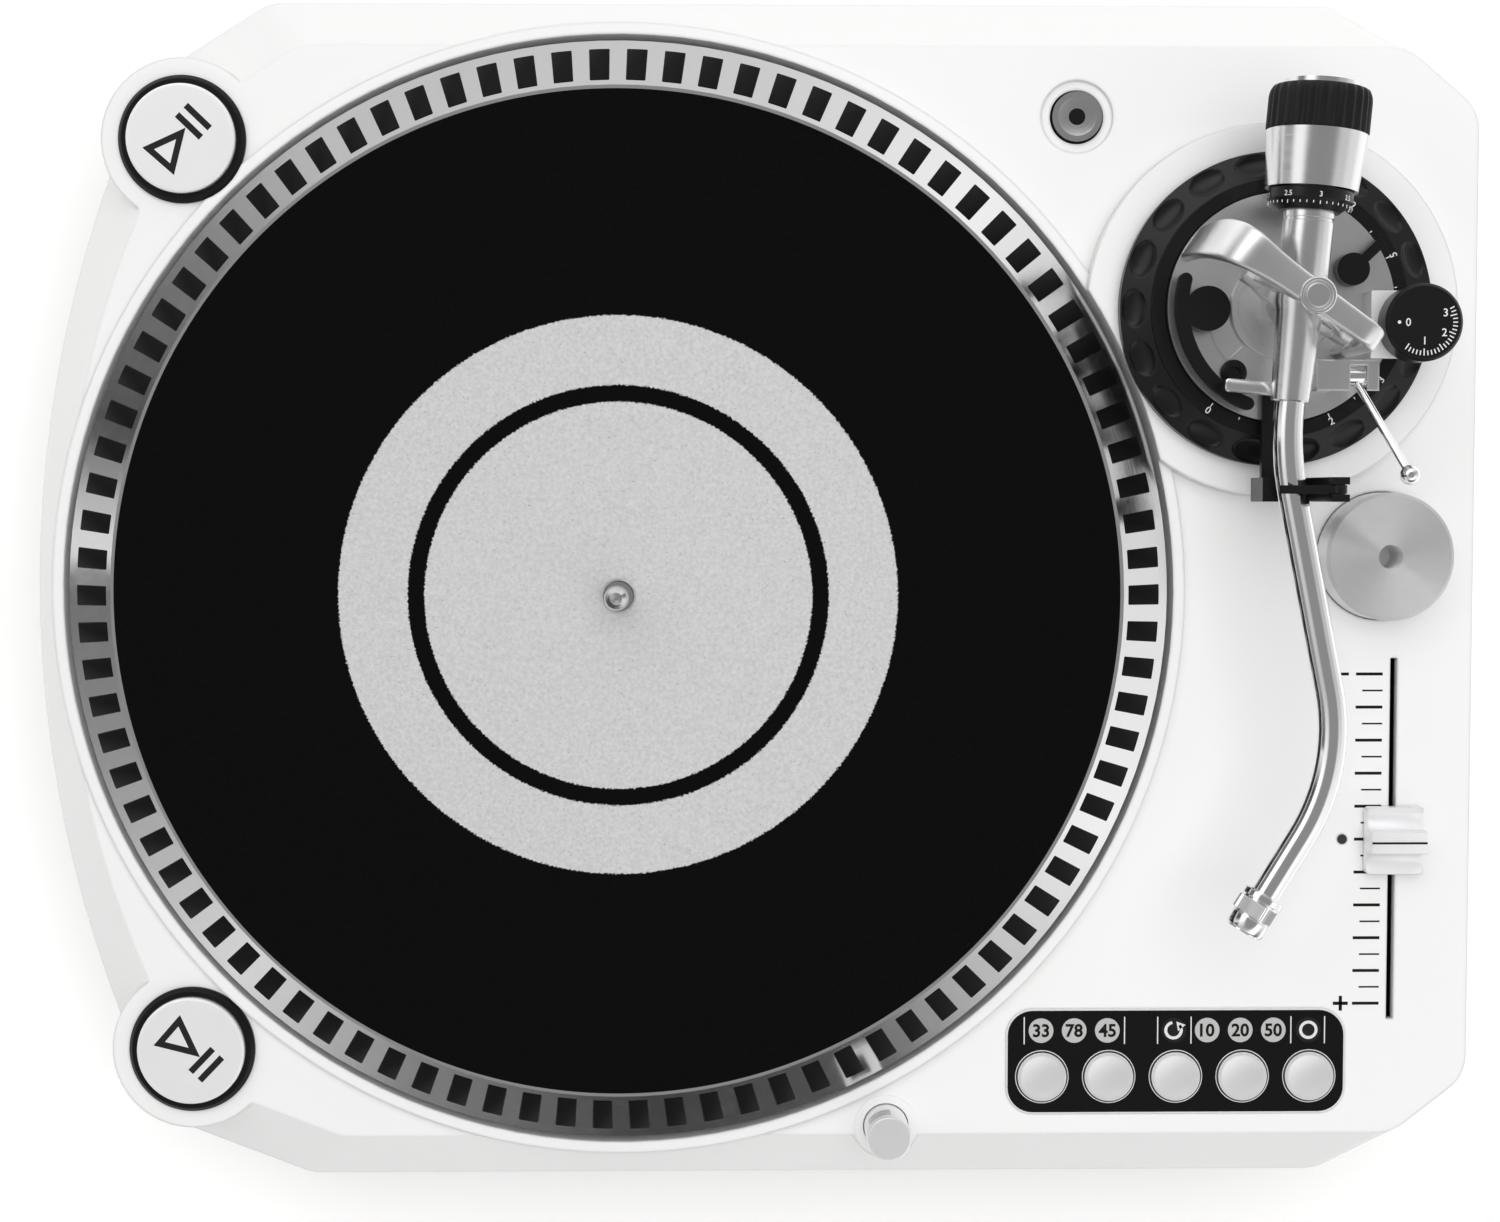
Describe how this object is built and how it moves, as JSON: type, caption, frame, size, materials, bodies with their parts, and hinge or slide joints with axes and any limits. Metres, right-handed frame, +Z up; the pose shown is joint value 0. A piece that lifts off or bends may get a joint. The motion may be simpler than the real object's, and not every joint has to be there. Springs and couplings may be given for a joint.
{
  "type": "turntable record player",
  "caption": "Direct-drive record player: white bowed plinth, metal platter with strobe marks and slipmat, S-shaped arm on a height ring, pitch fader, control keys and pop-up stylus lamp.",
  "frame": {"origin": "on the floor under the middle of the plinth", "axes": "+Z up, +Y to the rear, +X to the right as the user faces it"},
  "size_m": [0.442, 0.364, 0.1555],
  "materials": {
    "gloss_white": "glossy moulded",
    "base_grey": "satin moulded",
    "foot_black": "satin moulded",
    "rubber": "matt",
    "platter_metal": "turned",
    "felt": "napped felt",
    "spindle_steel": "polished",
    "steel": "plain",
    "magnet": "sintered",
    "copper": "enamelled wire",
    "board": "lacquered",
    "black_gloss": "glossy",
    "black_satin": "satin",
    "silver_satin": "satin silver",
    "lens_dark": "clear",
    "legend_white": "translucent",
    "arm_chrome": "polished",
    "arm_silver": "satin",
    "weight_steel": "brushed",
    "brass_plate": "plated",
    "fader_lens": "translucent"
  },
  "bodies": {
    "plinth": {"top_cover": "gloss_white", "base_tray": "base_grey", "cover_screws": "steel", "feet": "foot_black", "foot_pads": "rubber", "bearing_housing": "steel", "motor_screws": "steel", "stator_core": "steel", "stator_coils": "copper", "main_board": "board", "power_board": "board", "transformer": "copper", "control_board": "board", "start_bezel_rear": "black_satin", "start_bezel_front": "black_satin", "control_panel": "black_gloss", "legend_lenses": "legend_white", "lamp_sleeve": "black_satin", "fader_track": "black_satin", "fader_lamp": "fader_lens", "ring_collar": "black_satin", "rear_panel": "black_satin", "rca_jacks": "brass_plate", "ground_terminal": "brass_plate", "usb_socket": "steel", "mains_inlet": "black_satin"},
    "platter": {"platter": "platter_metal", "spindle": "spindle_steel", "rotor_magnet": "magnet"},
    "slipmat": {"slipmat": "felt"},
    "start_button_rear": {"start_button_rear": "silver_satin"},
    "start_button_front": {"start_button_front": "silver_satin"},
    "motor_switch": {"motor_switch": "silver_satin"},
    "panel_button_1": {"panel_button_1": "silver_satin"},
    "panel_button_2": {"panel_button_2": "silver_satin"},
    "panel_button_3": {"panel_button_3": "silver_satin"},
    "panel_button_4": {"panel_button_4": "silver_satin"},
    "panel_button_5": {"panel_button_5": "silver_satin"},
    "stylus_lamp": {"lamp_barrel": "silver_satin", "lamp_lens": "lens_dark"},
    "pitch_fader": {"fader_cap": "silver_satin"},
    "record_adapter": {"record_adapter": "silver_satin"},
    "height_ring": {"height_ring": "black_satin"},
    "arm_base": {"arm_base_plate": "arm_silver", "pivot_bridge": "arm_silver", "skate_bracket": "arm_silver", "arm_rest": "black_satin"},
    "skate_knob": {"skate_knob": "black_satin"},
    "cue_lever": {"cue_lever": "arm_chrome"},
    "cue_lift": {"cue_lift": "black_satin"},
    "lock_lever": {"lock_lever": "black_satin"},
    "gimbal": {"gimbal_ring": "arm_silver"},
    "arm": {"arm_housing": "arm_silver", "arm_tube": "arm_chrome"},
    "locking_collar": {"locking_collar": "arm_chrome"},
    "counterweight": {"counterweight": "weight_steel", "weight_grip": "rubber"},
    "stylus_force_dial": {"stylus_force_dial": "black_satin"},
    "rest_clip": {"rest_clip": "black_satin"},
    "line_switch": {"line_switch": "black_satin"}
  },
  "joints": [
    {"name": "platter_spin", "type": "hinge", "parent": "plinth", "child": "platter", "pos_m": [-0.04, 0.001, 0.1], "axis": [0, 0, 1], "continuous": true},
    {"name": "slipmat_slip", "type": "hinge", "parent": "platter", "child": "slipmat", "pos_m": [-0.04, 0.001, 0.1105], "axis": [0, 0, 1], "continuous": true},
    {"name": "start_rear_press", "type": "slide", "parent": "plinth", "child": "start_button_rear", "axis": [0, 0, -1], "range_m": [0, 0.0025], "stiffness_N_per_m": 500},
    {"name": "start_front_press", "type": "slide", "parent": "plinth", "child": "start_button_front", "axis": [0, 0, -1], "range_m": [0, 0.0025], "stiffness_N_per_m": 500},
    {"name": "motor_switch_press", "type": "slide", "parent": "plinth", "child": "motor_switch", "axis": [0, 0, -1], "range_m": [0, 0.002], "stiffness_N_per_m": 400},
    {"name": "panel_1_press", "type": "slide", "parent": "plinth", "child": "panel_button_1", "axis": [0, 0, -1], "range_m": [0, 0.0015], "stiffness_N_per_m": 400},
    {"name": "panel_2_press", "type": "slide", "parent": "plinth", "child": "panel_button_2", "axis": [0, 0, -1], "range_m": [0, 0.0015], "stiffness_N_per_m": 400},
    {"name": "panel_3_press", "type": "slide", "parent": "plinth", "child": "panel_button_3", "axis": [0, 0, -1], "range_m": [0, 0.0015], "stiffness_N_per_m": 400},
    {"name": "panel_4_press", "type": "slide", "parent": "plinth", "child": "panel_button_4", "axis": [0, 0, -1], "range_m": [0, 0.0015], "stiffness_N_per_m": 400},
    {"name": "panel_5_press", "type": "slide", "parent": "plinth", "child": "panel_button_5", "axis": [0, 0, -1], "range_m": [0, 0.0015], "stiffness_N_per_m": 400},
    {"name": "lamp_push", "type": "slide", "parent": "plinth", "child": "stylus_lamp", "axis": [0, 0, -1], "range_m": [0, 0.0155]},
    {"name": "pitch_slide", "type": "slide", "parent": "plinth", "child": "pitch_fader", "axis": [0, 1, 0], "range_m": [-0.05, 0.05]},
    {"name": "adapter_lift", "type": "slide", "parent": "plinth", "child": "record_adapter", "axis": [0, 0, 1], "range_m": [0, 0.03]},
    {"name": "height_turn", "type": "hinge", "parent": "plinth", "child": "height_ring", "pos_m": [0.1565, 0.0865, 0.105], "axis": [0, 0, 1], "range_deg": [-180, 0]},
    {"name": "arm_height", "type": "slide", "parent": "plinth", "child": "arm_base", "axis": [0, 0, 1], "range_m": [0, 0.006]},
    {"name": "skate_turn", "type": "hinge", "parent": "arm_base", "child": "skate_knob", "pos_m": [0.1936, 0.0808, 0.126], "axis": [0, 0, 1], "range_deg": [0, 250]},
    {"name": "cue_turn", "type": "hinge", "parent": "arm_base", "child": "cue_lever", "pos_m": [0.1767, 0.066, 0.1163], "axis": [-1, 0, 0], "range_deg": [0, 50]},
    {"name": "cue_rise", "type": "slide", "parent": "arm_base", "child": "cue_lift", "axis": [0, 0, 1], "range_m": [0, 0.004]},
    {"name": "lock_turn", "type": "hinge", "parent": "arm_base", "child": "lock_lever", "pos_m": [0.1766, 0.0974, 0.114], "axis": [0, 0, 1], "range_deg": [0, 60]},
    {"name": "arm_swing", "type": "hinge", "parent": "arm_base", "child": "gimbal", "pos_m": [0.1565, 0.0865, 0.1343], "axis": [0, 0, -1], "range_deg": [0, 45]},
    {"name": "arm_tilt", "type": "hinge", "parent": "gimbal", "child": "arm", "pos_m": [0.1565, 0.0865, 0.1343], "axis": [-0.8387, 0.5446, 0], "range_deg": [-2, 5]},
    {"name": "collar_turn", "type": "hinge", "parent": "arm", "child": "locking_collar", "pos_m": [0.1482, -0.0849, 0.1343], "axis": [-0.5203, -0.854, 0], "range_deg": [0, 90]},
    {"name": "weight_turn", "type": "hinge", "parent": "arm", "child": "counterweight", "pos_m": [0.1565, 0.0865, 0.1343], "axis": [0.0906, 0.9959, 0], "continuous": true},
    {"name": "dial_turn", "type": "hinge", "parent": "counterweight", "child": "stylus_force_dial", "pos_m": [0.1565, 0.0865, 0.1343], "axis": [0.0906, 0.9959, 0], "range_deg": [-180, 180]},
    {"name": "clip_swing", "type": "hinge", "parent": "arm_base", "child": "rest_clip", "pos_m": [0.1654, 0.0325, 0.1455], "axis": [0, 1, 0], "range_deg": [0, 110]},
    {"name": "line_switch_slide", "type": "slide", "parent": "plinth", "child": "line_switch", "axis": [1, 0, 0], "range_m": [0, 0.004]}
  ],
  "couplings": [
    {"joint": "arm_height", "follows": "height_turn", "m_per_rad": -0.0019099},
    {"joint": "cue_turn", "follows": "cue_rise", "rad_per_m": 218.17}
  ]
}
